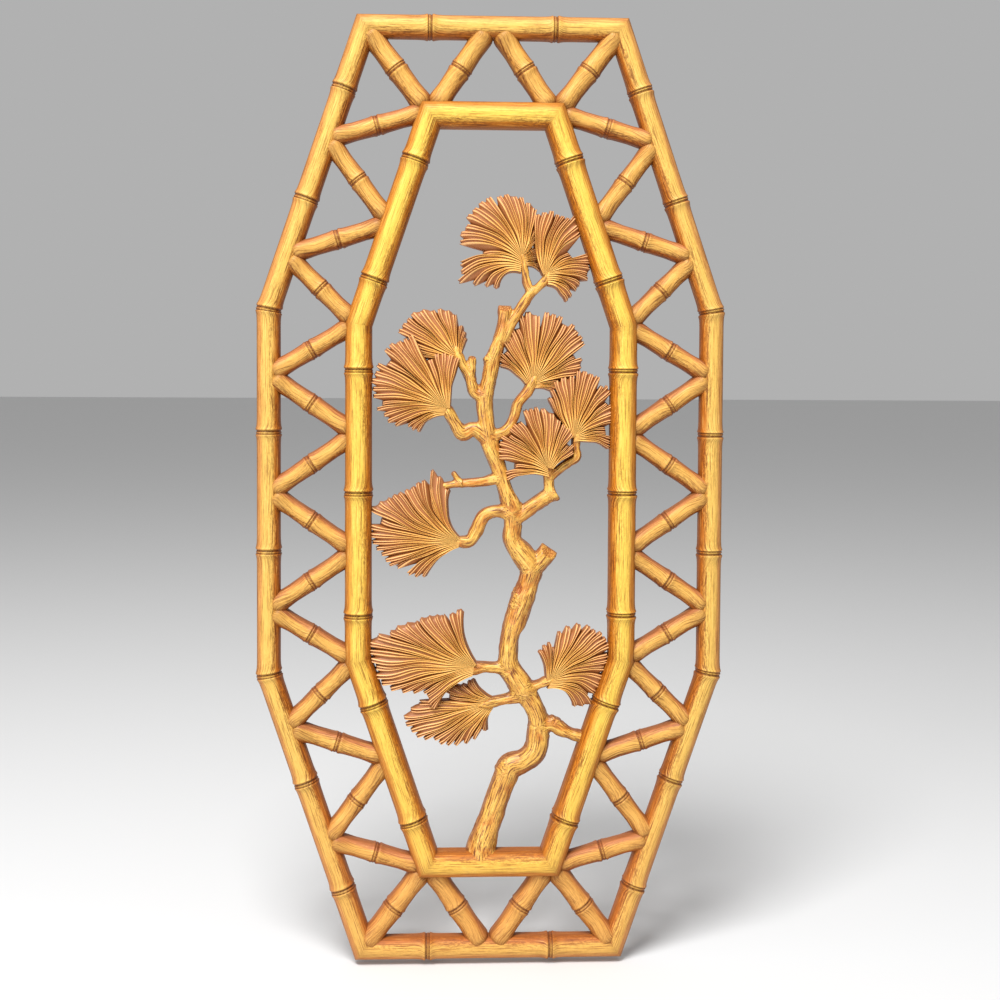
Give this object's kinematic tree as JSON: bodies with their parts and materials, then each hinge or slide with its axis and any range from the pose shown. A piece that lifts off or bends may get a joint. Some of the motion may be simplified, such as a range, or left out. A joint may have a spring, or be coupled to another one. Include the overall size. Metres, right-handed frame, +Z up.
{
  "type": "wall plaque",
  "caption": "Openwork hanging wall plaque: a long octagonal bamboo-pattern frame of two rails and ringed braces around a crooked little pine with fans of needles.",
  "frame": {"origin": "middle of the top rail's flat back, where the plaque hangs against the wall", "axes": "+Z up along the plaque's length, +X to the right as seen from the front, +Y into the wall; the carved front faces -Y"},
  "size_m": [0.2826, 0.0152, 0.5725],
  "materials": {
    "plaque_plastic": "satin, painted and glazed to look like honey-coloured wood"
  },
  "bodies": {
    "root": {"plaque": "plaque_plastic"}
  },
  "joints": []
}
